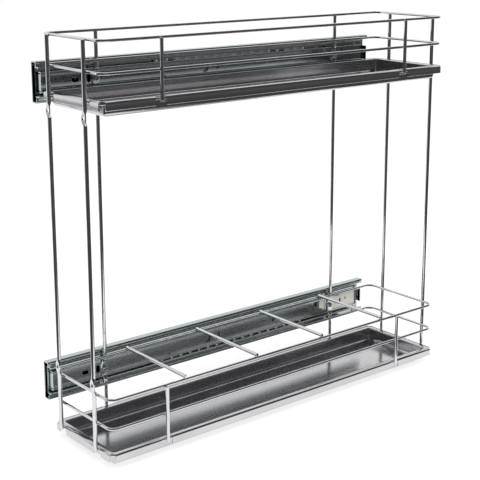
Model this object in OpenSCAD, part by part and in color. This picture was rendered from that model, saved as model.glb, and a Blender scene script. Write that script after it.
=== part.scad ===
// Two-tier pull-out basket for a narrow kitchen base cabinet: two wire and sheet-metal baskets
// on a frame of six rods, carried by a pair of three-part ball-bearing slides.
//
// Origin: on the cabinet wall, midway between the four cabinet screws of the two slides.
// -X is the way the basket pulls out, -Y points away from the cabinet wall, +Z is up.
// In every slide section a depth is measured from the cabinet wall towards -Y.

/* [Slides] */
// Length of each slide
slide_len = 494; // [454:10:544]
// Distance from the middle of the cabinet screws to the front end of each slide
slide_front_reach = 250; // [240:2:260]
// Height of each slide
slide_h = 45; // [43:0.5:52]
// Depth of each slide, from the wall to the face of its inner member
slide_depth = 12.7; // [12.5:0.1:14]
// Distance between the centre lines of the two slides
slide_pitch = 336; // [300:2:360]
// Distance between the two cabinet screws of one slide
cabinet_hole_pitch = 416; // [320:32:416]
// Bore of the cabinet screw holes
cabinet_hole_d = 4.6; // [4:0.1:5.5]
// Thickness of the outer member
outer_t = 1.5; // [1.3:0.1:1.8]
// Thickness of the middle member
middle_t = 1.5; // [1.3:0.1:1.8]
// Thickness of the inner member
inner_t = 1.2; // [1:0.1:1.5]
// Room between the outer member's web and the middle member, for low screw heads
screw_head_room = 2.1; // [1.8:0.1:2.3]

/* [Balls and cages] */
// Diameter of the balls between the outer and the middle member
outer_ball_d = 4.6; // [4:0.1:5]
// Diameter of the balls between the middle and the inner member
inner_ball_d = 4; // [3.6:0.1:4.2]
// Depth of the races that the balls run in
race_depth = 0.2; // [0.1:0.05:0.3]
// Running clearance between a ball and its race
ball_gap = 0.1; // [0.05:0.01:0.15]
// Thickness of the cage strips
cage_t = 0.7; // [0.5:0.1:0.9]
// Pitch of the cage windows
window_pitch = 14; // [13.6:0.1:14.6]
// Number of windows in a cage strip
window_count = 16; // [10:1:16]
// Bar between two windows
window_bar = 3.3; // [2:0.1:3.6]
// How far the cages reach past the races when the basket is pulled out
cage_overhang = 26; // [10:1:28]

/* [Soft-close unit] */
// Length of the soft-close housing
unit_len = 64; // [55:1:68]
// Distance from the housing to the rear end of the inner member
unit_rear_gap = 3; // [2:0.5:5]

/* [Rings] */
// Length of a wire ring on its centre line
ring_len = 498; // [460:2:520]
// Width of a wire ring on its centre line
ring_wid = 112.5; // [106:0.5:160]
// Corner radius of a wire ring on its centre line
ring_corner_r = 9.5; // [6:0.5:14]
// Wire diameter of the rings
ring_wire_d = 3.2; // [2.8:0.1:4]
// How far the middle of the baskets lies behind the middle of the slides
basket_back = 3; // [0:0.5:8]
// Height of a middle ring above the base ring
mid_rise = 29.5; // [20:0.5:40]
// Height of a top ring above the base ring
top_rise = 62; // [50:1:90]
// Drop from the upper slide's centre line to the upper base ring
upper_base_drop = 9.6; // [0:0.2:20]
// Drop from the lower slide's centre line to the lower base ring
lower_base_drop = 47.1; // [40:0.1:60]

/* [Rods] */
// Diameter of the six long rods
rod_d = 4.5; // [4:0.1:6]
// Diameter of the short near-side posts and the divider wires
post_d = 4; // [3:0.1:5]
// Distance between the two front rods, which is also the door hole distance
front_rod_pitch = 70.5; // [50:0.5:76]
// How far the front rods' middle lies from the basket's middle towards the wall
front_rod_shift = 5; // [0:0.5:8]
// Distance between the two rear rods
rear_rod_pitch = 73.2; // [50:0.2:80]
// Distance from the front end of a slide to the front side rod
front_side_inset = 71.4; // [69:0.2:80]
// Distance from the rear end of an inner member to the rear side rod
rear_side_inset = 51; // [47:0.2:52]
// Distance from a side rod to the near-side post behind it
post_lag = 2.4; // [0:0.2:10]
// Distance from the ring's front to the first divider
divider_first = 96.4; // [80:0.2:100]
// Pitch of the dividers
divider_pitch = 101.7; // [90:0.1:105]
// Number of dividers across the lower basket
divider_count = 4; // [1:1:4]

/* [Flattened pads] */
// Thickness of a rod where it is flattened
pad_t = 1.5; // [1.2:0.1:2]
// Width of the pads that are screwed to the slides
slide_pad_w = 9.5; // [9:0.1:12]
// Height of the pads that are screwed to the slides
slide_pad_h = 25; // [20:0.5:30]
// Width of the door pads
door_pad_w = 8.6; // [8:0.1:12]
// Height of the door pads
door_pad_h = 15; // [13:0.5:20]
// Vertical distance between the door holes
door_hole_rise = 284; // [250:1:286]
// Bore of the holes in the pads
pad_hole_d = 4.4; // [4.2:0.1:5]
// Length over which a rod thins into a pad
pad_ramp = 4; // [3:0.5:5]

/* [Screws] */
// Shank diameter of the slide screws
screw_d = 3.9; // [3:0.1:4]
// Head diameter of the slide screws
screw_head_d = 6.8; // [6:0.1:8]
// Head height of the slide screws
screw_head_h = 2.8; // [2:0.1:3.4]
// Length of the slide screws under the head
screw_len = 5; // [4:0.1:5.5]

/* [Trays] */
// Sheet thickness of the trays
sheet_t = 0.8; // [0.6:0.1:1.2]
// Depth of the pan below the base ring's centre line, to its underside
pan_drop = 14.5; // [10:0.5:24]
// Distance from the ring's centre line to the inner face of the pan's wall
pan_inset = 6.5; // [6:0.1:10]
// Inside radius of the bend between the pan's wall and floor
floor_bend_r = 2; // [1.5:0.1:4]
// Outside radius of the bend between the pan's wall and rim
rim_bend_r = 1.6; // [1.3:0.1:2.2]
// How far the skirt hangs below the base ring's centre line
skirt_drop = 7.2; // [4:0.2:9]
// Length of skirt left out at each corner
corner_cut = 5.5; // [5:0.5:9]
// Width of the notches in the skirt for the rods and posts
notch_w = 14; // [8:0.5:16]

/* [Hidden] */
$fn = 48;

chrome = [0.82, 0.83, 0.85];
bright_sheet = [0.70, 0.71, 0.73];
zinc = [0.58, 0.63, 0.64];
dark_zinc = [0.40, 0.44, 0.45];
steel = [0.75, 0.76, 0.78];
cream = [0.86, 0.84, 0.77];

eps = 0.02;            // overreach of a cutter past the face that it opens
weld_gap = 0.05;       // between two wires that are welded where they cross
slide_fit = 0.3;       // between two parts that slide past each other
seat_gap = 0.1;        // between a part and the face that it is fastened against

// Slides along their length, closed
outer_front = -slide_front_reach;
outer_rear = outer_front + slide_len;
middle_front = outer_front + 2;
middle_rear = outer_rear - 12;
inner_front = outer_front + 4;
inner_rear = outer_rear - 14;
stop_tab_x = outer_rear - 4;
stage_travel = slide_len / 2 + 3;

// Slide section, half heights from the slide's centre line, outside in
outer_face_z = slide_h / 2 - outer_t;
outer_ball_z = outer_face_z + race_depth - ball_gap - outer_ball_d / 2;
middle_half = outer_ball_z - outer_ball_d / 2 - ball_gap + race_depth;
middle_face_z = middle_half - middle_t;
inner_ball_z = middle_face_z + race_depth - ball_gap - inner_ball_d / 2;
inner_half = inner_ball_z - inner_ball_d / 2 - ball_gap + race_depth;

// Slide section, depths from the cabinet wall
web_t = 1.2;
outer_lip_front = slide_depth - 2.7;
outer_lip_back = outer_lip_front - web_t;
middle_back = web_t + slide_fit + screw_head_room;
middle_web_front = middle_back + web_t;
middle_lip_front = slide_depth - 1.5;
middle_lip_back = middle_lip_front - web_t;
cage_web_t = 0.6;
cage_back = middle_web_front + 0.2;
cage_web_front = cage_back + cage_web_t;
cage_front = middle_lip_back - slide_fit;
cage_lip_back = cage_front - cage_web_t;
cage_lip_foot = inner_half + slide_fit;
cage_lip_tip = middle_face_z - slide_fit;
inner_back = cage_web_front + slide_fit;
inner_web_back = slide_depth - inner_t;
outer_strip_back = web_t + slide_fit;
outer_strip_front = outer_lip_back - slide_fit;
outer_ball_depth = (outer_strip_back + outer_strip_front) / 2;
window_slack = 0.2;
inner_ball_depth = cage_web_front + inner_ball_d / 2 + window_slack;

// Cages along their length: their rearmost balls stay inside the races when the slide is open
cage_len = window_count * window_pitch + window_bar;
cage_rear = inner_rear - stage_travel / 2 + cage_overhang;
cage_start = cage_rear - cage_len;

// Soft-close housing
unit_rear = inner_rear - unit_rear_gap;
unit_front = unit_rear - unit_len;
unit_half = inner_half - inner_t - slide_fit;
bridge_w = 14;
tongue_len = 32;
web_window_half = inner_half - 2.6;

// Baskets, rods and rings
side_rod_y = -(slide_depth + seat_gap + rod_d / 2);
wire_step = rod_d / 2 + weld_gap + ring_wire_d / 2;
post_step = post_d / 2 + weld_gap + ring_wire_d / 2;
basket_y = side_rod_y - wire_step - ring_wid / 2;
basket_x = basket_back;
ring_front_x = basket_x - ring_len / 2;
front_side_x = outer_front + front_side_inset;
rear_side_x = inner_rear - rear_side_inset;
upper_slide_z = slide_pitch / 2;
lower_slide_z = -slide_pitch / 2;
upper_base_z = upper_slide_z - upper_base_drop;
lower_base_z = lower_slide_z - lower_base_drop;
rod_top = upper_base_z + top_rise;
rod_bottom = lower_base_z - 1.2;
near_post_y = basket_y - ring_wid / 2 - post_step;
divider_z = lower_base_z + top_rise + ring_wire_d / 2 + weld_gap + post_d / 2;

// Trays, heights from the base ring's centre line
roll_in = ring_wire_d / 2 + weld_gap;
rim_top = roll_in + sheet_t;
floor_top = -pan_drop + sheet_t;
pan_half_x = ring_len / 2 - pan_inset;
pan_half_y = ring_wid / 2 - pan_inset;
rim_corner_r = 5;

// ---------------------------------------------------------------- plane helpers

// A rectangle from its corner, with all four corners rounded
module rounded_rect(w, h, r) {
    translate([r, 0]) square([w - 2 * r, h]);
    translate([0, r]) square([w, h - 2 * r]);
    for (x = [r, w - r], y = [r, h - r])
        translate([x, y]) circle(r = r);
}

// A slot from end to end, centred
module slot_outline(length, width) {
    square([length - width, width], center = true);
    for (s = [-1, 1])
        translate([s * (length - width) / 2, 0]) circle(d = width);
}

// Sweeps a slide section (depth, height) along X from x0 to x1 at the height z
module along_slide(x0, x1, z) {
    translate([x0, 0, z])
        rotate([90, 0, 90])
            linear_extrude(height = x1 - x0)
                mirror([1, 0])
                    children();
}

// Cuts or builds along Y: an outline (X, Z) between two depths
module between_depths(near_wall, far_wall) {
    translate([0, -near_wall, 0])
        rotate([90, 0, 0])
            linear_extrude(height = far_wall - near_wall)
                children();
}

// ---------------------------------------------------------------- slides

// Round race grooves along a member, above and below the centre line
module race_grooves(depth, height, ball_d) {
    for (s = [-1, 1])
        translate([depth, s * height]) circle(d = ball_d + 2 * ball_gap);
}

module outer_section() {
    lip_tip = middle_half + 0.4;
    difference() {
        translate([0, -slide_h / 2]) rounded_rect(outer_lip_front, slide_h, 2);
        translate([web_t, -outer_face_z])
            rounded_rect(outer_lip_back - web_t, 2 * outer_face_z, 0.8);
        translate([outer_lip_back - 1, -lip_tip]) square([web_t + 2, 2 * lip_tip]);
        race_grooves(outer_ball_depth, outer_ball_z, outer_ball_d);
    }
}

module middle_section() {
    lip_tip = inner_half + 2.8;
    difference() {
        translate([middle_back, -middle_half])
            rounded_rect(middle_lip_front - middle_back, 2 * middle_half, 1.2);
        translate([middle_web_front, -middle_face_z])
            rounded_rect(middle_lip_back - middle_web_front, 2 * middle_face_z, 0.5);
        translate([middle_lip_back - 1, -lip_tip]) square([web_t + 2, 2 * lip_tip]);
        race_grooves(outer_ball_depth, outer_ball_z, outer_ball_d);
        race_grooves(inner_ball_depth, inner_ball_z, inner_ball_d);
    }
}

module inner_section() {
    channel = inner_half - inner_t;
    difference() {
        translate([inner_back - 2, -inner_half])
            rounded_rect(slide_depth - inner_back + 2, 2 * inner_half, 1.5);
        translate([inner_back - 3, -channel])
            square([inner_web_back - inner_back + 3 - 0.6, 2 * channel]);
        translate([inner_web_back - 1, -channel]) rounded_rect(1, 2 * channel, 0.4);
        translate([inner_back - 3, -slide_h / 2]) square([3, slide_h]);
        race_grooves(inner_ball_depth, inner_ball_z, inner_ball_d);
    }
}

// Fixed to the cabinet: the C-shaped outer member with its bent-up rear stop
module outer_member(z) {
    tab_half = web_window_half;
    color(zinc) {
        difference() {
            along_slide(outer_front, outer_rear, z) outer_section();
            for (s = [-1, 1])
                translate([s * cabinet_hole_pitch / 2, -web_t - eps, z])
                    rotate([-90, 0, 0])
                        cylinder(h = web_t + 2 * eps, d = cabinet_hole_d);
        }
        translate([stop_tab_x, -(slide_depth - 1.7), z - tab_half])
            cube([web_t, slide_depth - 1.7 - web_t / 2, 2 * tab_half]);
    }
}

module middle_member(z) {
    color(dark_zinc)
        along_slide(middle_front, middle_rear, z) middle_section();
}

// Punched openings of the inner member's web, at their distance from its slide's front end
module web_punchings() {
    translate([outer_front + 46, 0]) slot_outline(9, 4.6);
    translate([outer_front + 63, 0]) rotate(90) slot_outline(9, 4.6);
    translate([outer_front + 164, -6]) circle(d = 2.4);
    translate([outer_front + 222, 0])
        difference() {
            circle(r = 5);
            translate([-1.8, 1.2]) circle(r = 4.4);
        }
    translate([outer_front + 240.4, 1]) rotate(90) slot_outline(7, 2.4);
    translate([outer_front + 329, 0]) circle(d = 3.4);
}

// Fastened to the basket: the inner member with its bent-back front end
module inner_member(z) {
    color(zinc) {
        difference() {
            union() {
                along_slide(inner_front, inner_rear, z) inner_section();
                translate([inner_front, -inner_web_back - eps, z - web_window_half])
                    cube([inner_t, inner_web_back - inner_back + eps, 2 * web_window_half]);
                translate([outer_front + 316, -slide_depth, z])
                    rotate([90, 0, 0]) cylinder(h = 0.7, d = 5);
            }
            translate([0, 0, z]) {
                between_depths(inner_web_back - eps, slide_depth + eps) web_punchings();
                for (x = [front_side_x, rear_side_x])
                    between_depths(inner_web_back - eps, slide_depth + eps)
                        translate([x, 0]) circle(d = screw_d + 0.2);
                children();
            }
        }
    }
}

module upper_inner_member() {
    inner_member(upper_slide_z)
        between_depths(inner_web_back - eps, slide_depth + eps)
            translate([outer_rear - 49.6, 5.6]) circle(d = 4);
}

// The lower web is cut away on both sides of the rear screw, where the soft-close unit shows
module lower_inner_member() {
    bridge_front = rear_side_x - bridge_w / 2;
    bridge_rear = rear_side_x + bridge_w / 2;
    inner_member(lower_slide_z)
        between_depths(inner_web_back - eps, slide_depth + eps) {
            polygon([
                [bridge_front - tongue_len, web_window_half],
                [bridge_front, web_window_half],
                [bridge_front, -web_window_half + 2.5]
            ]);
            translate([bridge_rear, -web_window_half])
                square([unit_rear - bridge_rear + 1, 2 * web_window_half]);
        }
}

// Ball windows of one cage strip, as an outline (X, depth)
module cage_windows(ball_d, depth) {
    window_len = window_pitch - window_bar;
    for (i = [0 : window_count - 1])
        translate([cage_start + window_bar + i * window_pitch, depth - ball_d / 2 - window_slack])
            square([window_len, ball_d + 2 * window_slack]);
}

// Holds an outline (X, depth) flat in a cage strip, at the height z of its middle
module strip_level(z, thickness) {
    translate([0, 0, z - thickness / 2])
        linear_extrude(height = thickness)
            mirror([0, 1])
                children();
}

// Two loose strips that space the outer balls
module outer_cage(z) {
    color(steel)
        for (s = [-1, 1])
            strip_level(z + s * outer_ball_z, cage_t)
                difference() {
                    translate([cage_start, outer_strip_back])
                        square([cage_len, outer_strip_front - outer_strip_back]);
                    cage_windows(outer_ball_d, outer_ball_depth);
                }
}

// One U-shaped strip that spaces the inner balls; its fingers end in lips on the near side
module inner_cage(z) {
    lip_h = cage_lip_tip - cage_lip_foot;
    color(steel) {
        for (s = [-1, 1]) {
            strip_level(z + s * inner_ball_z, cage_t)
                difference() {
                    translate([cage_start, cage_back])
                        square([cage_len, cage_front - cage_back]);
                    cage_windows(inner_ball_d, inner_ball_depth);
                }
            strip_level(z + s * (cage_lip_foot + lip_h / 2), lip_h)
                difference() {
                    translate([cage_start, cage_lip_back])
                        square([cage_len, cage_front - cage_lip_back]);
                    cage_windows(inner_ball_d, inner_ball_depth);
                }
        }
        translate([cage_start, -cage_web_front, z - inner_ball_z])
            cube([cage_len, cage_web_t, 2 * inner_ball_z]);
    }
}

// Pairs of balls in two front and two rear windows of each strip of both slides; the last two
// windows stay empty, because they leave the races when the basket is pulled out
module ball_rows(ball_d, height, depth) {
    window_len = window_pitch - window_bar;
    color(steel)
        for (z = [upper_slide_z, lower_slide_z], s = [-1, 1],
             i = [0, 1, window_count - 4, window_count - 3], side = [-1, 1])
            translate([
                cage_start + window_bar + i * window_pitch + window_len / 2
                    + side * (ball_d / 2 + 0.15),
                -depth,
                z + s * height
            ])
                sphere(d = ball_d);
}

// Damper housing in the rear of the lower inner member
module soft_close_unit() {
    back = inner_back + seat_gap;
    face = inner_web_back - seat_gap;
    raised_front = rear_side_x + bridge_w / 2 + slide_fit;
    raised_half = web_window_half - slide_fit;
    color(cream)
        translate([0, 0, lower_slide_z])
            difference() {
                union() {
                    between_depths(back, face)
                        translate([unit_front, -unit_half])
                            rounded_rect(unit_len, 2 * unit_half, 1);
                    between_depths(face - eps, slide_depth - 0.3)
                        translate([raised_front, -raised_half])
                            square([unit_rear - raised_front, 2 * raised_half]);
                }
                between_depths(back - eps, face + eps)
                    translate([rear_side_x, 0]) circle(d = screw_d + 1);
                between_depths(slide_depth - 3, slide_depth)
                    translate([raised_front + 14, 0.5]) rotate(90) slot_outline(8.5, 3);
                between_depths(slide_depth - 3, slide_depth)
                    translate([raised_front + 24, 2.5]) circle(d = 3);
            }
}

// ---------------------------------------------------------------- rods

// A rod or wire along Z with its ends broken by small chamfers
module cut_rod(z0, z1, d) {
    chamfer = 0.4;
    translate([0, 0, z0]) cylinder(h = chamfer, d1 = d - 2 * chamfer, d2 = d);
    translate([0, 0, z0 + chamfer]) cylinder(h = z1 - z0 - 2 * chamfer, d = d);
    translate([0, 0, z1 - chamfer]) cylinder(h = chamfer, d1 = d, d2 = d - 2 * chamfer);
}

// Outline (X, Z) of a flattened stretch: two shallow arcs that end at the rod's own width
module pad_outline(w, h) {
    bulge = (w - rod_d) / 2;
    arc_r = (h * h / 4 + bulge * bulge) / (2 * bulge);
    intersection() {
        square([w, h], center = true);
        translate([arc_r - w / 2, 0]) circle(r = arc_r, $fn = 180);
        translate([w / 2 - arc_r, 0]) circle(r = arc_r, $fn = 180);
    }
}

// Takes the rod's -Y side away down to the pad, with a ramp at both ends
module pad_relief(h) {
    front = rod_d / 2 - pad_t;
    past = 1;
    flare = past * pad_ramp / (rod_d - pad_t);
    rotate([90, 0, 90])
        linear_extrude(height = rod_d + 1, center = true)
            polygon([
                [-rod_d / 2 - past, -h / 2 - flare],
                [-rod_d / 2 - past, h / 2 + flare],
                [front, h / 2 - pad_ramp],
                [front, -h / 2 + pad_ramp]
            ]);
}

// A long rod at the origin, flattened at the given heights; the pads are flush with its +Y side
module padded_rod(pad_zs, w, h) {
    difference() {
        union() {
            difference() {
                cut_rod(rod_bottom, rod_top, rod_d);
                for (z = pad_zs)
                    translate([0, 0, z]) pad_relief(h);
            }
            for (z = pad_zs)
                translate([0, rod_d / 2, z])
                    rotate([90, 0, 0])
                        linear_extrude(height = pad_t)
                            pad_outline(w, h);
        }
        for (z = pad_zs)
            translate([0, rod_d / 2 + 1, z])
                rotate([90, 0, 0])
                    cylinder(h = rod_d + 2, d = pad_hole_d);
    }
}

module side_rod(x) {
    color(chrome)
        translate([x, side_rod_y, 0])
            padded_rod([upper_slide_z, lower_slide_z], slide_pad_w, slide_pad_h);
}

module front_rod(side) {
    x = ring_front_x - wire_step;
    y = basket_y + front_rod_shift + side * front_rod_pitch / 2;
    color(chrome)
        translate([x, y, 0])
            rotate([0, 0, 90])
                padded_rod([-door_hole_rise / 2, door_hole_rise / 2], door_pad_w, door_pad_h);
}

module rear_rod(side) {
    x = ring_front_x + ring_len + wire_step;
    y = basket_y + side * rear_rod_pitch / 2;
    color(chrome)
        translate([x, y, 0]) cut_rod(rod_bottom, rod_top, rod_d);
}

// The two short posts that tie the near sides of one basket's three rings together
module near_posts(base_z) {
    color(chrome)
        for (x = [front_side_x, rear_side_x])
            translate([x + post_lag, near_post_y, 0])
                cut_rod(base_z - 1.9, base_z + top_rise, post_d);
}

module divider_wires() {
    reach = ring_wid / 2 + ring_wire_d / 2;
    color(chrome)
        for (i = [0 : divider_count - 1])
            translate([ring_front_x + divider_first + i * divider_pitch, basket_y, divider_z])
                rotate([90, 0, 0]) cut_rod(-reach, reach, post_d);
}

// Pan-head screws with cross recesses, through the pads into the inner members
module slide_screws() {
    pad_face = side_rod_y + rod_d / 2 - pad_t;
    recess_w = 1.1;
    crown_r = (screw_head_d * screw_head_d / 4 + 1.44) / 2.4;
    color(steel)
        for (x = [front_side_x, rear_side_x], z = [upper_slide_z, lower_slide_z])
            translate([x, pad_face - 0.05, z])
                rotate([90, 0, 0])
                    difference() {
                        union() {
                            rotate_extrude()
                                intersection() {
                                    square([screw_head_d / 2, screw_head_h]);
                                    translate([0, screw_head_h - crown_r])
                                        circle(r = crown_r, $fn = 90);
                                }
                            translate([0, 0, -screw_len])
                                cylinder(h = screw_len + eps, d = screw_d);
                        }
                        for (turn = [0, 90])
                            rotate([0, 0, turn])
                                translate([-screw_head_d / 3.4, -recess_w / 2, screw_head_h - 1.5])
                                    cube([screw_head_d / 1.7, recess_w, 2]);
                    }
}

// ---------------------------------------------------------------- rings and trays

function corner_turn(sx, sy) = sx > 0 ? (sy > 0 ? 0 : 270) : (sy > 0 ? 90 : 180);

// A closed ring of round wire around the basket
module wire_ring(z) {
    straight_x = ring_len - 2 * ring_corner_r;
    straight_y = ring_wid - 2 * ring_corner_r;
    color(chrome)
        translate([basket_x, basket_y, z]) {
            for (s = [-1, 1]) {
                translate([0, s * ring_wid / 2, 0])
                    rotate([0, 90, 0])
                        cylinder(h = straight_x, d = ring_wire_d, center = true);
                translate([s * ring_len / 2, 0, 0])
                    rotate([90, 0, 0])
                        cylinder(h = straight_y, d = ring_wire_d, center = true);
            }
            for (sx = [-1, 1], sy = [-1, 1])
                translate([sx * straight_x / 2, sy * straight_y / 2, 0])
                    rotate([0, 0, corner_turn(sx, sy)])
                        rotate_extrude(angle = 90)
                            translate([ring_corner_r, 0]) circle(d = ring_wire_d);
        }
}

// The space inside the pan across one direction, from the floor up to the rim's top face
module pan_inside(half_w) {
    translate([-half_w, floor_top + floor_bend_r])
        square([2 * half_w, rim_top - floor_top - floor_bend_r + eps]);
    translate([-half_w + floor_bend_r, floor_top])
        square([2 * (half_w - floor_bend_r), floor_bend_r + eps]);
    for (s = [-1, 1]) {
        translate([s * (half_w - floor_bend_r), floor_top + floor_bend_r])
            circle(r = floor_bend_r);
        difference() {
            translate([s * (half_w + rim_bend_r / 2), rim_top - rim_bend_r / 2 + eps])
                square([rim_bend_r, rim_bend_r], center = true);
            translate([s * (half_w + rim_bend_r), rim_top - rim_bend_r]) circle(r = rim_bend_r);
        }
    }
}

// The outside of the pan and its rim across one direction
module pan_outside(half_w, rim_half) {
    outer_r = floor_bend_r + sheet_t;
    outer_half = half_w + sheet_t;
    translate([-outer_half, -pan_drop + outer_r])
        square([2 * outer_half, rim_top + pan_drop - outer_r]);
    translate([-outer_half + outer_r, -pan_drop])
        square([2 * (outer_half - outer_r), outer_r + eps]);
    translate([-rim_half, roll_in]) square([2 * rim_half, sheet_t]);
    for (s = [-1, 1]) {
        translate([s * (outer_half - outer_r), -pan_drop + outer_r]) circle(r = outer_r);
        difference() {
            translate([s * (outer_half + rim_bend_r / 2 - sheet_t / 2), rim_top - rim_bend_r / 2])
                square([rim_bend_r - sheet_t, rim_bend_r], center = true);
            translate([s * (half_w + rim_bend_r), rim_top - rim_bend_r])
                circle(r = rim_bend_r - sheet_t);
        }
    }
}

module sweep_across_x(length) {
    rotate([90, 0, 90]) linear_extrude(height = length, center = true) children();
}

module sweep_across_y(length) {
    rotate([90, 0, 0]) linear_extrude(height = length, center = true) children();
}

// A folded pan: two crossed sweeps give mitred vertical corners
module folded_pan() {
    intersection() {
        difference() {
            intersection() {
                sweep_across_y(ring_wid) pan_outside(pan_half_x, ring_len / 2);
                sweep_across_x(ring_len) pan_outside(pan_half_y, ring_wid / 2);
            }
            intersection() {
                sweep_across_y(ring_wid) pan_inside(pan_half_x);
                sweep_across_x(ring_len) pan_inside(pan_half_y);
            }
        }
        translate([-ring_len / 2, -ring_wid / 2, -pan_drop - 1])
            linear_extrude(height = pan_drop + rim_top + 2)
                rounded_rect(ring_len, ring_wid, rim_corner_r);
    }
}

// Rim rolled over the base wire and down into the skirt, along X with -Y outwards
module rolled_edge(side_len, stations) {
    length = side_len + 2 * (rim_top - corner_cut);
    lap = 1.5;
    difference() {
        rotate([90, 0, 90])
            linear_extrude(height = length, center = true) {
                intersection() {
                    difference() {
                        circle(r = rim_top);
                        circle(r = roll_in);
                    }
                    translate([-rim_top - 1, 0]) square([rim_top + 1, rim_top + 1]);
                }
                translate([-rim_top, -skirt_drop]) square([sheet_t, skirt_drop + eps]);
                translate([-eps, roll_in]) square([lap, sheet_t]);
            }
        for (x = stations)
            translate([x - notch_w / 2, -rim_top - 1, -skirt_drop - 1])
                cube([notch_w, rim_top + 1, skirt_drop + rim_top + 2]);
    }
}

module tray(base_z) {
    post_stations = [for (x = [front_side_x, rear_side_x]) x + post_lag - basket_x];
    rod_stations = [for (x = [front_side_x, rear_side_x]) basket_x - x];
    front_stations = [for (s = [-1, 1]) -front_rod_shift + s * front_rod_pitch / 2];
    rear_stations = [for (s = [-1, 1]) s * rear_rod_pitch / 2];
    color(bright_sheet)
        translate([basket_x, basket_y, base_z]) {
            folded_pan();
            translate([0, -ring_wid / 2, 0]) rolled_edge(ring_len, post_stations);
            translate([0, ring_wid / 2, 0])
                rotate([0, 0, 180]) rolled_edge(ring_len, rod_stations);
            translate([-ring_len / 2, 0, 0])
                rotate([0, 0, -90]) rolled_edge(ring_wid, front_stations);
            translate([ring_len / 2, 0, 0])
                rotate([0, 0, 90]) rolled_edge(ring_wid, rear_stations);
        }
}

// ---------------------------------------------------------------- nodes

outer_member(upper_slide_z);  // upper_outer_member
outer_member(lower_slide_z);  // lower_outer_member
middle_member(upper_slide_z);  // upper_middle_member
middle_member(lower_slide_z);  // lower_middle_member
upper_inner_member();
lower_inner_member();
outer_cage(upper_slide_z);  // upper_outer_cage
outer_cage(lower_slide_z);  // lower_outer_cage
inner_cage(upper_slide_z);  // upper_inner_cage
inner_cage(lower_slide_z);  // lower_inner_cage
ball_rows(outer_ball_d, outer_ball_z, outer_ball_depth);  // outer_balls
ball_rows(inner_ball_d, inner_ball_z, inner_ball_depth);  // inner_balls
soft_close_unit();
side_rod(front_side_x);  // front_side_rod
side_rod(rear_side_x);  // rear_side_rod
front_rod(-1);  // near_front_rod
front_rod(1);  // far_front_rod
rear_rod(-1);  // near_rear_rod
rear_rod(1);  // far_rear_rod
wire_ring(upper_base_z + top_rise);  // upper_top_ring
wire_ring(upper_base_z + mid_rise);  // upper_mid_ring
wire_ring(upper_base_z);  // upper_base_ring
tray(upper_base_z);  // upper_tray
wire_ring(lower_base_z + top_rise);  // lower_top_ring
wire_ring(lower_base_z + mid_rise);  // lower_mid_ring
wire_ring(lower_base_z);  // lower_base_ring
tray(lower_base_z);  // lower_tray
near_posts(upper_base_z);  // upper_near_posts
near_posts(lower_base_z);  // lower_near_posts
divider_wires();
slide_screws();
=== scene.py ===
"""Looks of the two-tier pull-out cabinet basket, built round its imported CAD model."""
import math

import bmesh
import bpy
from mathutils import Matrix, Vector


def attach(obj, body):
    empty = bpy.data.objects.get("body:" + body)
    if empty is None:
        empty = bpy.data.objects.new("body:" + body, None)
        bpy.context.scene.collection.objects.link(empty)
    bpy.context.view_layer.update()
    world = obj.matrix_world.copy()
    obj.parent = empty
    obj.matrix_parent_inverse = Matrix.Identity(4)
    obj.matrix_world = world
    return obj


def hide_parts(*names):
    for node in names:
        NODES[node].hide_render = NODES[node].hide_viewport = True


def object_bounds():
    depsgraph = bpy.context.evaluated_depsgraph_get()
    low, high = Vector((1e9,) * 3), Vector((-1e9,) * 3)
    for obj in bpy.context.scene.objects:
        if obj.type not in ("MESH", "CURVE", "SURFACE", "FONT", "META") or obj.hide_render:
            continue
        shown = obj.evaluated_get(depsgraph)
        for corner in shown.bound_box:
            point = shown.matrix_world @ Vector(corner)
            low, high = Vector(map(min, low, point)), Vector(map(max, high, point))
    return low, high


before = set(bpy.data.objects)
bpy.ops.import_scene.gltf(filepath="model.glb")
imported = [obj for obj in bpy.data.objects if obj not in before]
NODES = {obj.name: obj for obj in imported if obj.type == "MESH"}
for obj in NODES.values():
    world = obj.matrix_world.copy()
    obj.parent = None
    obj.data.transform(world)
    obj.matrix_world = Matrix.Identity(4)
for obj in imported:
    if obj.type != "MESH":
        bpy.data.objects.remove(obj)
CAD_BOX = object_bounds()

# ------------------------------------------------------------------ the CAD's own places and sizes, in mm

MM, MM_PER_M = 0.001, 1000
BASKET_X, BASKET_Y = 3.0, -75.2             # middle of both baskets
RING_X, RING_Y = 249.0, 56.25               # half length and half width of the rings' centre lines
ROD_D, POST_D = 4.5, 4.0
UPPER_BASE, LOWER_BASE = 158.4, -215.1      # heights of the base rings
MID_RISE, TOP_RISE = 29.5, 62.0             # the other rings above the base ring
ROD_TOP, ROD_FOOT = UPPER_BASE + TOP_RISE, LOWER_BASE - 1.2
SIDE_X, SIDE_Y = (-178.6, 179.0), -15.05
FRONT_X, FRONT_Y = -249.9, (-105.45, -34.95)
REAR_X, REAR_Y = 255.9, (-111.8, -38.6)
POST_X, POST_Y = (-176.2, 181.4), -135.1
DIVIDER_X, DIVIDER_Z = (-149.6, -47.9, 53.8, 155.5), -149.45
TRAY_SHEET = 0.8                            # thickness of the trays' sheet
PAN_INSET = 6.5                             # from a ring's centre line in to the pan's inner wall
SKIRT_R = 2.45                              # outside of the sheet that is rolled over the base ring

PAD_T, PAD_HOLE = 1.5, 4.4                  # thickness of the flattened pads, and the hole through them
SIDE_PAD, FRONT_PAD = (9.5, 25.0), (8.6, 15.0)      # width and height of the pads
FRONT_PAD_Z = (-142.0, 142.0)

UPPER_SLIDE_Z, LOWER_SLIDE_Z = 168.0, -168.0
SLIDE_Z = (UPPER_SLIDE_Z, LOWER_SLIDE_Z)
SLIDE_FRONT, WEB_Y = -250.0, -12.7          # front end of the slides, face of the inner members' webs
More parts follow.
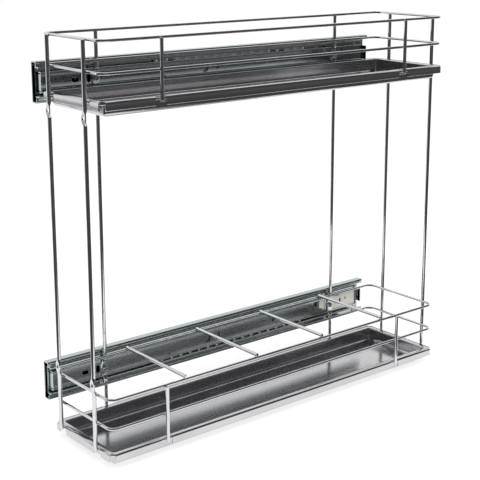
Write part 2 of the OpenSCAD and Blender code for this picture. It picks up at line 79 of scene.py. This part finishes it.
# punchings and rivet of a web, as distances behind the front end
LONG_SLOT, SMALL_HOLE, MOON, UPRIGHT_SLOT, RIVET, ROUND_HOLE = 46, 164, 222, 240.4, 316, 329

# soft-close unit: its slot and its eye, as x and as heights over the middle of the lower slide
SLOT_X, SLOT_RISE, SLOT_CORNER = (198.6, 202.0), (-3.9, 4.7), 1.7
EYE_X, EYE_RISE = 210.3, 2.5

# ------------------------------------------------------------------ the stage's places, in metres

FLOOR_Z = CAD_BOX[0].z - 0.002
STAGE_X, STAGE_Y = 0.0, -0.07               # what the lamps aim at, and the flags stand round
CAMERA_AT = (-0.837573, -1.071084, 0.323374)
CAMERA_DOWN, CAMERA_TURN = 12.913, -39.578  # its view: degrees below level, and degrees from +Y
# the direction in which the camera stands from the middle of the stage, in degrees
CAMERA_AZ = math.degrees(math.atan2(CAMERA_AT[1] - STAGE_Y, CAMERA_AT[0] - STAGE_X))
DOME_R = 2.6                                # radius of the dark dome and of the flags that reach to it
WHITE = (1, 1, 1)


# ------------------------------------------------------------------ camera and lamps

def add_object(name, data):
    o = bpy.data.objects.new(name, data)
    bpy.context.scene.collection.objects.link(o)
    return o


def make_camera():
    data = bpy.data.cameras.new("camera")
    cam = add_object("camera", data)
    cam.location = CAMERA_AT
    cam.rotation_euler = (math.radians(90 - CAMERA_DOWN), 0, math.radians(CAMERA_TURN))
    data.sensor_width = 36
    data.lens = 85.16
    data.shift_x = -0.0166
    data.shift_y = -0.1001
    data.clip_start = 0.05
    data.clip_end = 50
    bpy.context.scene.camera = cam


def make_lamp(name, place, size, power):
    """A soft square lamp that aims at the object."""
    data = bpy.data.lights.new(name, "AREA")
    data.energy = power
    data.size = size
    o = add_object(name, data)
    o.location = place
    aim = Vector((STAGE_X, STAGE_Y, 0)) - Vector(place)
    o.rotation_euler = aim.to_track_quat("-Z", "Y").to_euler()
    o.visible_glossy = False        # the metal sees the room and the flags, not the lamps


# ------------------------------------------------------------------ materials

class Shade:
    """A node material on the Principled shader, with plain socket values given by name."""

    def __init__(self, name, **sockets):
        self.mat = bpy.data.materials.new(name)
        self.mat.use_nodes = True
        self.tree = self.mat.node_tree
        self.bsdf = self.tree.nodes["Principled BSDF"]
        for key, value in sockets.items():
            self.bsdf.inputs[key].default_value = value

    def link(self, a, b):
        self.tree.links.new(a, b)

    def coords(self, scale=(1, 1, 1)):
        tex = self.tree.nodes.new("ShaderNodeTexCoord")
        mapping = self.tree.nodes.new("ShaderNodeMapping")
        mapping.inputs["Scale"].default_value = scale
        self.link(tex.outputs["Object"], mapping.inputs["Vector"])
        return mapping.outputs["Vector"]

    def noise(self, vector, scale, detail):
        n = self.tree.nodes.new("ShaderNodeTexNoise")
        n.inputs["Scale"].default_value = scale
        n.inputs["Detail"].default_value = detail
        n.inputs["Roughness"].default_value = 0.55
        self.link(vector, n.inputs["Vector"])
        return n.outputs["Fac"]

    def tint(self, fac, dark, light):
        """Lets a noise move the colour between two tones."""
        ramp = self.tree.nodes.new("ShaderNodeValToRGB")
        for stop, place, colour in zip(ramp.color_ramp.elements, (0.3, 0.7), (dark, light)):
            stop.position = place
            stop.color = (*colour, 1)
        self.link(fac, ramp.inputs["Fac"])
        self.link(ramp.outputs["Color"], self.bsdf.inputs["Base Color"])

    def gloss(self, fac, smooth, rough):
        """Lets a noise move the roughness between two values."""
        span = self.tree.nodes.new("ShaderNodeMapRange")
        for key, value in (("From Min", 0.3), ("From Max", 0.7), ("To Min", smooth), ("To Max", rough)):
            span.inputs[key].default_value = value
        self.link(fac, span.inputs["Value"])
        self.link(span.outputs["Result"], self.bsdf.inputs["Roughness"])

    def bump(self, height, strength, distance):
        b = self.tree.nodes.new("ShaderNodeBump")
        b.inputs["Strength"].default_value = strength
        b.inputs["Distance"].default_value = distance
        self.link(height, b.inputs["Height"])
        self.link(b.outputs["Normal"], self.bsdf.inputs["Normal"])


def chrome():
    """Bright chrome plating: nearly a mirror, and slightly uneven."""
    s = Shade("chrome", Metallic=1.0)
    v = s.coords()
    s.tint(s.noise(v, 60, 4), (0.62, 0.63, 0.65), (0.70, 0.71, 0.73))
    s.gloss(s.noise(v, 400, 3), 0.05, 0.11)
    s.bump(s.noise(v, 900, 2), 0.04, 0.0002)
    return s.mat


def tray_sheet():
    """Bright plated sheet with a faint lengthwise grain."""
    s = Shade("tray_sheet", Metallic=1.0)
    s.tint(s.noise(s.coords(), 9, 3), (0.55, 0.55, 0.56), (0.63, 0.63, 0.64))
    grain = s.noise(s.coords((2, 700, 700)), 1.0, 3)
    s.gloss(grain, 0.12, 0.21)
    s.bump(grain, 0.012, 0.0003)
    return s.mat


def zinc():
    """Bright zinc on rolled steel: smooth and glossy, with a slight blue-green tint."""
    s = Shade("slide_zinc", Metallic=1.0)
    v = s.coords((0.25, 1, 1))
    s.tint(s.noise(v, 18, 3), (0.42, 0.47, 0.47), (0.50, 0.55, 0.54))
    s.gloss(s.noise(s.coords((8, 260, 260)), 1.0, 3), 0.06, 0.12)
    s.bump(s.noise(v, 300, 2), 0.005, 0.0001)
    return s.mat


def plain_steel(name, dark, light, rough, metallic=1.0):
    """Steel of one finish, with small changes of tone and gloss."""
    s = Shade(name, Metallic=metallic)
    v = s.coords()
    s.tint(s.noise(v, 120, 4), dark, light)
    s.gloss(s.noise(v, 500, 3), rough * 0.7, rough * 1.4)
    return s.mat


def cream_plastic():
    """Moulded plastic with a fine eroded skin."""
    s = Shade("cream_plastic", IOR=1.46)
    v = s.coords()
    s.tint(s.noise(v, 40, 4), (0.81, 0.78, 0.70), (0.86, 0.83, 0.75))
    s.gloss(s.noise(v, 900, 3), 0.30, 0.42)
    s.bump(s.noise(v, 2500, 2), 0.1, 0.0001)
    return s.mat


def slot_shade_plastic():
    """Near-black plastic of the catch inside the soft-close unit, dark as painted shade for the deep shadow
    in the slot and the eye.
    """
    s = Shade("slot_shade_plastic", IOR=1.46)
    v = s.coords()
    s.tint(s.noise(v, 60, 3), (0.02, 0.02, 0.02), (0.035, 0.034, 0.032))
    s.gloss(s.noise(v, 900, 3), 0.4, 0.5)
    return s.mat


# ------------------------------------------------------------------ floor, world and flags

def stage_sheet(name, verts, faces, mat):
    me = bpy.data.meshes.new(name)
    me.from_pydata(verts, [], faces)
    me.materials.append(mat)
    o = add_object(name, me)
    return o


def add_shader(tree, kind, colour, strength=None):
    n = tree.nodes.new(kind)
    n.inputs["Color"].default_value = (*colour, 1)
    if strength is not None:
        n.inputs["Strength"].default_value = strength
    return n.outputs[0]


def link_by_ray(tree, giving, seen, out):
    """What the camera and the metal see is `seen`; the light that it gives to the rest is `giving`."""
    path = tree.nodes.new("ShaderNodeLightPath")
    either = tree.nodes.new("ShaderNodeMath")
    either.operation = "MAXIMUM"
    tree.links.new(path.outputs["Is Camera Ray"], either.inputs[0])
    tree.links.new(path.outputs["Is Glossy Ray"], either.inputs[1])
    mix = tree.nodes.new("ShaderNodeMixShader")
    tree.links.new(either.outputs[0], mix.inputs["Fac"])
    tree.links.new(giving, mix.inputs[1])
    tree.links.new(seen, mix.inputs[2])
    tree.links.new(mix.outputs[0], out.inputs["Surface"])


def make_world():
    w = bpy.data.worlds.new("world")
    bpy.context.scene.world = w
    w.use_nodes = True
    tree = w.node_tree
    tree.nodes.clear()
    out = tree.nodes.new("ShaderNodeOutputWorld")
    giving = add_shader(tree, "ShaderNodeBackground", WHITE, 0.75)
    seen = add_shader(tree, "ShaderNodeBackground", WHITE, 1.0)
    link_by_ray(tree, giving, seen, out)


def make_floor():
    """White floor: what the camera and the metal see of it is white, with the object's shadow."""
    mat = bpy.data.materials.new("floor_white")
    mat.use_nodes = True
    tree = mat.node_tree
    tree.nodes.clear()
    out = tree.nodes.new("ShaderNodeOutputMaterial")
    giving = add_shader(tree, "ShaderNodeBsdfDiffuse", (0.92, 0.92, 0.92))
    both = tree.nodes.new("ShaderNodeAddShader")
    tree.links.new(add_shader(tree, "ShaderNodeBsdfDiffuse", (0.42, 0.42, 0.42)), both.inputs[0])
    tree.links.new(add_shader(tree, "ShaderNodeEmission", WHITE, 0.72), both.inputs[1])
    link_by_ray(tree, giving, both.outputs[0], out)
    half, z = 6.0, FLOOR_Z
    corners = [(-half, -half, z), (half, -half, z), (half, half, z), (-half, half, z)]
    stage_sheet("floor", corners, [(0, 1, 2, 3)], mat)


def flag_material(name, level):
    s = Shade(name)
    s.tree.nodes.remove(s.bsdf)
    glow = add_shader(s.tree, "ShaderNodeEmission", (level, level, level * 1.03))
    s.link(glow, s.tree.nodes["Material Output"].inputs["Surface"])
    return s.mat


def make_flag(name, columns, mat):
    """A sheet through columns of points, which only the metal sees."""
    rows = len(columns[0])
    verts = [p for column in columns for p in column]
    faces = [(k, k + 1, k + rows + 1, k + rows)
             for i in range(len(columns) - 1) for k in range(i * rows, (i + 1) * rows - 1)]
    o = stage_sheet(name, verts, faces, mat)
    o.visible_camera = o.visible_diffuse = False
    o.visible_shadow = o.visible_transmission = False


def stage_point(azimuth, radius, elevation=0.0, z=None):
    """A point round the stage's middle, by angles in degrees; its height may be given instead."""
    a, e = math.radians(azimuth), math.radians(elevation)
    flat = radius * math.cos(e)
    if z is None:
        z = FLOOR_Z + radius * math.sin(e)
    return STAGE_X + flat * math.cos(a), STAGE_Y + flat * math.sin(a), z


def sweep(lo, hi, steps):
    """Azimuths from lo to hi, counted from the camera's own towards its right."""
    return [CAMERA_AZ + lo + (hi - lo) * i / steps for i in range(steps + 1)]


def make_flags():
    """Dark flags and grey cards round the object, as in a studio: only the metal sees them."""
    black = flag_material("black_flag", 0.07)
    azimuths, bands, top = sweep(-80, 125, 48), 14, 78
    dome = [[stage_point(a, DOME_R, top * j / bands) for j in range(bands + 1)] for a in azimuths]
    make_flag("flag_dome", dome, black)
    # the floor in front of the object, from an arm's length on
    ground = [[stage_point(a, r, z=FLOOR_Z + 0.0006) for r in (0.47, DOME_R)] for a in azimuths]
    make_flag("flag_floor", ground, black)
    # two dark grey cards low on the camera's right with a darker gap between them: the skirts mirror them
    cards = sweep(60, 102, 11)
    for name, first, last, tone in (("near", 0, 7, 0.12), ("gap", 7, 8, 0.07), ("far", 8, 11, 0.135)):
        wall = [[stage_point(a, 2.45, z=z) for z in (FLOOR_Z + 0.002, 0.0)] for a in cards[first:last + 1]]
        make_flag("card_" + name, wall, flag_material("card_grey_" + name, tone))
    # a black strip on the floor in front and to the right, which darkens the lower rings there
    z = FLOOR_Z + 0.0009
    make_flag("flag_strip", [[(x, y, z) for y in (-0.47, -0.2)] for x in (0.05, 0.6)], black)
    # a grey patch on the floor behind the left end, which the tray ends mirror
    patch = [[stage_point(a, r, z=z) for r in (1.2, DOME_R)] for a in sweep(-124, -92, 1)]
    make_flag("grey_patch", patch, flag_material("patch_grey", 0.45))
    # a low dark strip far behind, which the slides' webs mirror by way of the trays
    behind = [[stage_point(a, 2.5, e) for e in (1, 14)] for a in (30, 84)]
    make_flag("flag_behind", behind, flag_material("behind_grey", 0.25))


# ------------------------------------------------------------------ mesh helpers, in millimetres

def metre_mesh(name, verts, faces):
    """A mesh in metres, with its faces turned outwards."""
    me = bpy.data.meshes.new(name)
    me.from_pydata([Vector(v) * MM for v in verts], [], faces)
    bm = bmesh.new()
    bm.from_mesh(me)
    bmesh.ops.recalc_face_normals(bm, faces=bm.faces)
    bm.to_mesh(me)
    bm.free()
    return me


def finish_piece(name, me, mat, smooth, slot=None, replaces=None):
    """Makes a mesh a piece of the basket; smooth is the sharpest edge, in degrees, that is shaded round."""
    me.materials.clear()
    me.materials.append(MATS[mat])
    me.shade_smooth()
    me.set_sharp_from_angle(angle=math.radians(smooth))
    o = add_object(name, me)
    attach(o, "basket")
    if replaces:
        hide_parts(replaces)


class Mesh:
    """Collects vertices and faces of several closed shells."""

    def __init__(self):
        self.v, self.f = [], []

    def loft(self, loops):
        """Joins loops of the same point count into a closed shell."""
        base, n = len(self.v), len(loops[0])
        for loop in loops:
            self.v += [tuple(p) for p in loop]
        for i in range(len(loops) - 1):
            for j in range(n):
                a, b = base + i * n + j, base + i * n + (j + 1) % n
                self.f.append((a, b, b + n, a + n))
        last = base + (len(loops) - 1) * n
        self.f.append(tuple(range(base + n - 1, base - 1, -1)))
        self.f.append(tuple(range(last, last + n)))

    def lathe(self, centre, axis, profile, n):
        """Turns a profile of (radius, height) about an axis, in n steps."""
        turn = Vector(axis).to_track_quat("Z", "Y")
        c = Vector(centre)
        angles = [2 * math.pi * k / n for k in range(n)]
        self.loft([[c + turn @ Vector((r * math.cos(t), r * math.sin(t), h)) for t in angles]
                   for r, h in profile])

    def piece(self, name, mat, smooth=38, **how):
        finish_piece(name, metre_mesh(name, self.v, self.f), mat, smooth, **how)


def arc(cx, cy, r, a0, a1, n):
    """Points on an arc about (cx, cy), from a0 to a1 degrees in n steps."""
    angles = [math.radians(a0 + (a1 - a0) * i / n) for i in range(n + 1)]
    return [(cx + r * math.cos(a), cy + r * math.sin(a)) for a in angles]


def rounded_rect(x0, x1, y0, y1, r, n):
    """Outline of a rectangle with corners of radius r, each in n steps."""
    pts = []
    for sx, sy, a in ((1, 1, 0), (-1, 1, 90), (-1, -1, 180), (1, -1, 270)):
        pts += arc(x1 - r if sx > 0 else x0 + r, y1 - r if sy > 0 else y0 + r, r, a, a + 90, n)
    return pts


def add_plate(m, x0, x1, z0, z1, r, levels):
    """A plate with rounded corners, lofted through (depth, inset) levels; depth runs from the wall."""
    loops = []
    for depth, inset in levels:
        outline = rounded_rect(x0 + inset, x1 - inset, z0 + inset, z1 - inset, max(0.1, r - inset), 6)
        loops.append([(x, -depth, z) for x, z in outline])
    m.loft(loops)


def smoothstep(t):
    t = min(1.0, max(0.0, t))
    return t * t * (3 - 2 * t)


def boolean(base, steps, use_self=False):
    """A Mesh after a chain of (operation, Mesh) steps, as a Blender mesh in metres."""
    meshes = [base] + [tool for _, tool in steps]
    objects = [add_object("cutter", metre_mesh("cutter", m.v, m.f)) for m in meshes]
    for (operation, _), tool in zip(steps, objects[1:]):
        mod = objects[0].modifiers.new(operation, "BOOLEAN")
        mod.operation, mod.solver, mod.object = operation, "EXACT", tool
        mod.use_self = use_self
    bpy.context.view_layer.update()
    done = objects[0].evaluated_get(bpy.context.evaluated_depsgraph_get())
    me = bpy.data.meshes.new_from_object(done)
    for o in objects:
        old = o.data
        bpy.data.objects.remove(o)
        bpy.data.meshes.remove(old)
    return me


def back_to_mm(me):
    """A Blender mesh in metres as a Mesh again, for another round of cuts."""
    m = Mesh()
    m.v = [v.co * MM_PER_M for v in me.vertices]
    m.f = [tuple(p.vertices) for p in me.polygons]
    return m


# ------------------------------------------------------------------ trays

def pan_profile():
    """Section of the pan (outwards from its inner wall, height), along its inside and back outside."""
    bend_r, bend_z = 4.5, -9.2              # the bend round the floor
    rim_r, rim_z, rim_end = 1.6, 0.6, 92    # the bend of the rim, which slopes slightly up from it
    inside = [(-14, -13.62)] + arc(-bend_r, bend_z, bend_r, -90, 0, 9)
    inside += arc(rim_r, rim_z, rim_r, 180, rim_end, 5)
    lip = [(6.3, 2.45), (6.44, 2.39), (6.5, 2.25), (6.5, 1.85), (6.3, 1.65)]
    outside = arc(rim_r, rim_z, rim_r - TRAY_SHEET, rim_end, 180, 4)
    outside += arc(-bend_r, bend_z, bend_r + TRAY_SHEET, 0, -90, 9)
    return inside + lip + outside


def add_pan(m, base_z):
    """The pan with its rim, as one closed shell of sheet."""
    loops = []
    for o, z in pan_profile():
        hx, hy = RING_X - PAN_INSET + o, RING_Y - PAN_INSET + o
        corner = max(0.35, 1.5 + 0.8 * o)
        outline = rounded_rect(BASKET_X - hx, BASKET_X + hx, BASKET_Y - hy, BASKET_Y + hy, corner, 8)
        loops.append([(x, y, base_z + z) for x, y in outline])
    m.loft(loops)


def skirt_profile():
    """Section of the rolled edge (outwards from the ring's centre line, height), hemmed at its foot."""
    inner = SKIRT_R - TRAY_SHEET
    pts = [(-1.5, 2.42), (0, 2.42)]
    pts += arc(0, 0, SKIRT_R, 90, 0, 8)[1:]
    pts += arc(1.5, -6.25, 0.95, 0, -180, 8)
    pts += [(0.55, -4.3), (0.7, -4.05), (inner, -4.0), (inner, -0.2)]
    pts += arc(0, 0, inner, 0, 90, 6)
    pts += [(-1.5, inner)]
    return pts


def skirt_runs(half, stations):
    """Stretches between the notches of one side, each at its place along that side."""
    corner_gap, notch_half, shortest = 5.5, 7, 1
    end = half + SKIRT_R - corner_gap
    runs, at = [], -end
    for s in sorted(stations):
        runs.append((at, s - notch_half))
        at = s + notch_half
    runs.append((at, end))
    return [(a, b) for a, b in runs if b - a > shortest]


def drawn_in(o, z, by):
    """A point of the skirt's section, moved into the sheet where the skirt ends."""
    if z < -3:
        z += by
    elif z > 1:
        z -= 0.5 * by
    return (o - 0.8 * by if o > 2 else o), z


def add_skirts(m, base_z):
    """The four sides of the rolled edge, notched where rods and posts pass."""
    sides = (
        (RING_X, [x - BASKET_X for x in POST_X], lambda t, o: (t, -RING_Y - o)),
        (RING_X, [x - BASKET_X for x in SIDE_X], lambda t, o: (t, RING_Y + o)),
        (RING_Y, [y - BASKET_Y for y in FRONT_Y], lambda t, o: (-RING_X - o, t)),
        (RING_Y, [y - BASKET_Y for y in REAR_Y], lambda t, o: (RING_X + o, t)),
    )
    edge = 0.12
    for half, stations, place in sides:
        for a, b in skirt_runs(half, stations):
            loops = []
            for t, by in ((a, edge), (a + edge, 0), (b - edge, 0), (b, edge)):
                loop = []
                for o, z in (drawn_in(*point, by) for point in skirt_profile()):
                    x, y = place(t, o)
                    loop.append((BASKET_X + x, BASKET_Y + y, base_z + z))
                loops.append(loop)
            m.loft(loops)


def make_tray(node, base_z):
    m = Mesh()
    add_pan(m, base_z)
    add_skirts(m, base_z)
    m.piece(node + "_sheet", "tray_sheet", smooth=32, replaces=node)


# ------------------------------------------------------------------ rods

def superellipse(a, y0, y1, power, count=40):
    """Section between y0 and y1, 2a wide; a power of 2 is round, and a larger one is squarer."""
    b, c = (y1 - y0) / 2, (y0 + y1) / 2
    pts = []
    for k in range(count):
        t = 2 * math.pi * (k + 0.5) / count
        ct, st = math.cos(t), math.sin(t)
        x = a * math.copysign(abs(ct) ** (2 / power), ct)
        pts.append((x, c + b * math.copysign(abs(st) ** (2 / power), st)))
    return pts


def rod_stations(pads, width, height):
    """(height, half width, face, back, power of the section) along a rod with pads, from its foot up."""
    r, steps = ROD_D / 2, 34
    runout, ramp = 1.2, 4.0                         # how the pads run out into the round rod
    chamfer = ((0, 0.45), (0.14, 0.18), (0.45, 0))  # distance from the rod's end, drawn in by
    out = [(ROD_FOOT + d, r - c, c - r, r - c, 2) for d, c in chamfer]
    bulge = width / 2 - r
    arc_r = (height * height / 4 + bulge * bulge) / (2 * bulge)
    for z in sorted(pads):
        for k in range(steps + 1):
            dz = (k / steps - 0.5) * (height + 2 * runout)
            flat = smoothstep((height / 2 + runout - abs(dz)) / (ramp + runout))
            half = r
            if abs(dz) < height / 2:
                half = max(r, width / 2 - arc_r + math.sqrt(arc_r ** 2 - dz * dz))
            out.append((z + dz, half, r - (ROD_D + (PAD_T - ROD_D) * flat), r, 2 + 2.6 * flat))
    out += [(ROD_TOP - d, r - c, c - r, r - c, 2) for d, c in reversed(chamfer)]
    return out


def make_padded_rod(node, x, y, faces_x, pads, size):
    """A long rod pressed flat at its pads, with punched holes; the pads' faces look to +X or to -Y."""
    def place(px, py):
        return (x - py, y + px) if faces_x else (x + px, y + py)

    rod, holes = Mesh(), Mesh()
    rod.loft([[(*place(px, py), z) for px, py in superellipse(half, face, back, power)]
              for z, half, face, back, power in rod_stations(pads, *size)])
    r = PAD_HOLE / 2
    profile = [(r + 0.9, -1.0), (r + 0.28, 0.0), (r, 0.26), (r, PAD_T - 0.3), (r + 0.2, PAD_T),
               (r + 0.9, PAD_T + 1.0)]
    through = Vector((*place(0, 1), 0)) - Vector((*place(0, 0), 0))
    for z in pads:
        holes.lathe((*place(0, ROD_D / 2 - PAD_T), z), through, profile, 36)
    me = boolean(rod, [("DIFFERENCE", holes)])
    finish_piece(node + "_wire", me, "chrome_wire", 30, replaces=node)


# ------------------------------------------------------------------ welds

def weld_points():
    """Where two wires cross: the middle of the joint, and the direction across it."""
    sink, top_drop = 0.02, 0.6
    rod, post = ROD_D / 2 + sink, POST_D / 2 + sink
    out = []
    for base in (UPPER_BASE, LOWER_BASE):
        for rise in (0.0, MID_RISE, TOP_RISE):
            z = base + rise - (top_drop if rise == TOP_RISE else 0)
            out += [((x, SIDE_Y - rod, z), (0, 1, 0)) for x in SIDE_X]
            out += [((x, POST_Y + post, z), (0, 1, 0)) for x in POST_X]
            out += [((FRONT_X + rod, y, z), (1, 0, 0)) for y in FRONT_Y]
            out += [((REAR_X - rod, y, z), (1, 0, 0)) for y in REAR_Y]
    for x in DIVIDER_X:
        out += [((x, BASKET_Y + side * RING_Y, DIVIDER_Z - post), (0, 0, 1)) for side in (-1, 1)]
    return out


def make_welds():
    """Small flattened weld nuggets, uneven as resistance welds are, where the wires cross."""
    rows, cols, radius, height = 7, 12, 1.75, 0.85
    m = Mesh()
    for i, (point, axis) in enumerate(weld_points()):
        a = Vector(axis)
        u = Vector((0, 0, 1)) if abs(a.z) < 0.5 else Vector((1, 0, 0))
        v = a.cross(u)
        loops = []
        for row in range(rows):
            lat = math.pi * (row + 0.35) / (rows - 0.3) - math.pi / 2
            loop = []
            for k in range(cols):
                t = 2 * math.pi * k / cols
                uneven = 1 + 0.10 * math.sin(2.1 * i + 3 * t) + 0.07 * math.cos(1.3 * i + 2 * t)
                r = radius * math.cos(lat) * uneven
                loop.append(Vector(point) + u * (r * math.cos(t)) + v * (r * math.sin(t))
                            + a * (height * math.sin(lat)))
            loops.append(loop)
        m.loft(loops)
    m.piece("weld_nuggets", "chrome_wire", smooth=60)


# ------------------------------------------------------------------ screws and soft-close unit

def make_screws():
    """Pan-head screws with tapered cross recesses, each turned its own way."""
    face_y = SIDE_Y + ROD_D / 2 - PAD_T - 0.05
    shank = [(0.02, -5.0), (0.9, -4.9), (1.5, -3.9), (1.95, -3.2), (1.95, 0.0)]
    head = [(3.1, 0.0), (3.34, 0.12), (3.4, 0.4), (3.38, 1.1), (3.25, 1.55), (2.95, 2.02), (2.4, 2.42),
            (1.7, 2.66), (0.9, 2.77), (0.05, 2.8)]
    recess = ((-1.0, 0.75, 0.32), (-3.2, 2.25, 0.62))       # depth, half length, half width
    screws, bars = Mesh(), (Mesh(), Mesh())
    places = [(x, z) for x in SIDE_X for z in SLIDE_Z]
    for (x, z), degrees in zip(places, (38, 12, 71, 50)):
        screws.lathe((x, face_y, z), (0, -1, 0), shank + head, 40)
        for k, bar in enumerate(bars):
            turn = math.radians(degrees) + k * math.pi / 2
            d = Vector((math.cos(turn), 0, math.sin(turn)))
            e = Vector((-d.z, 0, d.x))
            loops = []
            for y, long, wide in recess:
                p = Vector((x, face_y + y, z)) + e * (0.013 * k)
                loops.append([p + d * (i * long) + e * (j * wide)
                              for i, j in ((-1, -1), (1, -1), (1, 1), (-1, 1))])
            bar.loft(loops)
    me = boolean(screws, [("DIFFERENCE", bars[0])])
    me = boolean(back_to_mm(me), [("DIFFERENCE", bars[1])])
    finish_piece("cross_screws", me, "screw_steel", 34, replaces="slide_screws")


def make_soft_close():
    """The damper housing: its body, and its raised lid with a slot, an eye and two ejector dimples."""
    z, out = LOWER_SLIDE_Z, (0, -1, 0)
    body, lid, holes = Mesh(), Mesh(), Mesh()
    add_plate(body, 163.0, 227.0, z - 9.8, z + 9.8, 1.4, [(6.0, 0.3), (6.3, 0), (11.1, 0), (11.4, 0.3)])
    add_plate(lid, 186.4, 226.9, z - 8.35, z + 8.35, 1.0,
              [(9.0, 0), (12.05, 0), (12.28, 0.12), (12.38, 0.35)])
    add_plate(holes, *SLOT_X, z + SLOT_RISE[0], z + SLOT_RISE[1], SLOT_CORNER,
              [(6.6, 0), (12.3, 0), (12.6, -0.35)])
    holes.lathe((EYE_X, -6.6, z + EYE_RISE), out, [(1.4, 0), (1.5, 5.6), (1.9, 6.1)], 30)
    holes.lathe((179.0, -5.5, z), out, [(2.5, 0), (2.5, 4.0), (2.5, 8.0)], 30)      # for the slide's screw
    for x, rise in ((221.0, -4.6), (192.0, 5.6)):
        holes.lathe((x, -12.1, z + rise), out, [(0.9, 0), (1.0, 0.5)], 20)
    me = boolean(body, [("UNION", lid), ("DIFFERENCE", holes)], use_self=True)
    finish_piece("soft_close_housing", me, "cream_plastic", 34, replaces="soft_close_unit")


def make_catch():
    """The catch and pivot that show through the housing's slot and eye, near-black as painted shade for the
    shadow deep inside them.
    """
    z, play = LOWER_SLIDE_Z, 0.1
    m = Mesh()
    add_plate(m, SLOT_X[0] + play, SLOT_X[1] - play, z + SLOT_RISE[0] + play, z + SLOT_RISE[1] - play,
              SLOT_CORNER - play, [(6.75, 0), (11.8, 0), (12.0, 0.3)])
    m.lathe((EYE_X, -6.75, z + EYE_RISE), (0, -1, 0), [(1.3, 0), (1.3, 4.9), (1.1, 5.2)], 30)
    m.piece("catch_behind_slot", "slot_shade_plastic", slot="cream_plastic")


# ------------------------------------------------------------------ punchings of the slides

def slot_edge(cx, cz, length, width, upright=False):
    """Outline of a round-ended slot with its outward directions."""
    r, straight, steps = width / 2, (length - width) / 2, 14
    out = []
    for side in (1, -1):
        for k in range(steps + 1):
            t = -math.pi / 2 + math.pi * k / steps + (0 if side > 0 else math.pi)
            dx, dz = math.cos(t), math.sin(t)
            x, z = side * straight + r * dx, r * dz
            out.append((cx - z, cz + x, -dz, dx) if upright else (cx + x, cz + z, dx, dz))
    return out


def hole_edge(cx, cz, size):
    """A round hole, with its two halves just apart so that no two points are the same."""
    return slot_edge(cx, cz, size + 0.0001, size)


def moon_edge(cx, cz):
    """The open outline of a crescent punching."""
    r, steps = 5, 24
    angles = [math.radians(-150 + 205 * k / steps) for k in range(steps + 1)]
    return [(cx + r * math.cos(t), cz + r * math.sin(t), math.cos(t), math.sin(t)) for t in angles]


def add_burr(m, edge, closed=True, width=0.55, height=0.3):
    """The raised edge that a punch leaves round an opening of the web; an open one tapers at its ends."""
    gap, back = 0.05, 0.1
    shape = [(0, back), (0, -0.5 * height), (0.25 * width, -0.9 * height), (0.5 * width, -height),
             (0.75 * width, -0.8 * height), (width, back)]
    base, n, k = len(m.v), len(shape), len(edge)
    for i, (x, z, dx, dz) in enumerate(edge):
        taper = 1.0 if closed else max(0.25, math.sin(math.pi * i / (k - 1)) ** 0.5)
        for d, h in shape:
            off = gap + d * taper
            m.v.append((x + dx * off, WEB_Y + (h if h > 0 else h * taper), z + dz * off))
    for i in range(k if closed else k - 1):
        p, q = base + i * n, base + ((i + 1) % k) * n
        for j in range(n):
            m.f.append((p + j, q + j, q + (j + 1) % n, p + (j + 1) % n))
    if not closed:
        last = base + (k - 1) * n
        m.f.append(tuple(range(base, base + n)))
        m.f.append(tuple(range(last + n - 1, last - 1, -1)))


def make_burrs():
    """Raised edges of the punchings and the domed rivet heads, on both inner members."""
    rivet_head = [(2.46, 0.3), (2.46, 0.7), (2.3, 1.05), (1.85, 1.4), (1.2, 1.62), (0.5, 1.7)]
    m = Mesh()
    for z in SLIDE_Z:
        add_burr(m, slot_edge(SLIDE_FRONT + LONG_SLOT, z, 9, 4.6))
        add_burr(m, slot_edge(SLIDE_FRONT + UPRIGHT_SLOT, z + 1, 7, 2.4, upright=True))
        add_burr(m, hole_edge(SLIDE_FRONT + ROUND_HOLE, z, 3.4))
        add_burr(m, hole_edge(SLIDE_FRONT + SMALL_HOLE, z - 6, 2.4), width=0.4, height=0.2)
        add_burr(m, moon_edge(SLIDE_FRONT + MOON, z), closed=False)
        m.lathe((SLIDE_FRONT + RIVET, WEB_Y, z), (0, -1, 0), rivet_head, 36)
    m.piece("punched_edges", "slide_zinc", smooth=50)


# ------------------------------------------------------------------ the scene

make_camera()
make_world()
make_floor()
make_flags()
make_lamp("key", (-1.2, -1.4, 2.4), 1.6, 30)
make_lamp("fill", (1.8, -1.2, 1.6), 1.4, 12)

MATS = {
    "chrome_wire": chrome(),
    "tray_sheet": tray_sheet(),
    "slide_zinc": zinc(),
    "cage_steel": plain_steel("cage_steel", (0.78, 0.79, 0.80), (0.86, 0.87, 0.88), 0.2, 0.4),
    "ball_steel": plain_steel("ball_steel", (0.60, 0.61, 0.62), (0.70, 0.71, 0.72), 0.12),
    "screw_steel": plain_steel("screw_steel", (0.62, 0.64, 0.66), (0.76, 0.78, 0.80), 0.16),
    "cream_plastic": cream_plastic(),
    # near-black catch material: painted shade for the shadow deep in the soft-close unit's slot and eye
    "slot_shade_plastic": slot_shade_plastic(),
}
for node in NODES.values():
    for node_slot in node.material_slots:
        key = node_slot.material.name.split(".")[0]
        if key in MATS:
            node_slot.material = MATS[key]

make_tray("upper_tray", UPPER_BASE)
make_tray("lower_tray", LOWER_BASE)
for rod_node, rod_x in zip(("front_side_rod", "rear_side_rod"), SIDE_X):
    make_padded_rod(rod_node, rod_x, SIDE_Y, False, SLIDE_Z, SIDE_PAD)
for rod_node, rod_y in zip(("near_front_rod", "far_front_rod"), FRONT_Y):
    make_padded_rod(rod_node, FRONT_X, rod_y, True, FRONT_PAD_Z, FRONT_PAD)
make_welds()
make_screws()
make_soft_close()
make_burrs()
make_catch()

bpy.context.scene.view_settings.view_transform = "Standard"
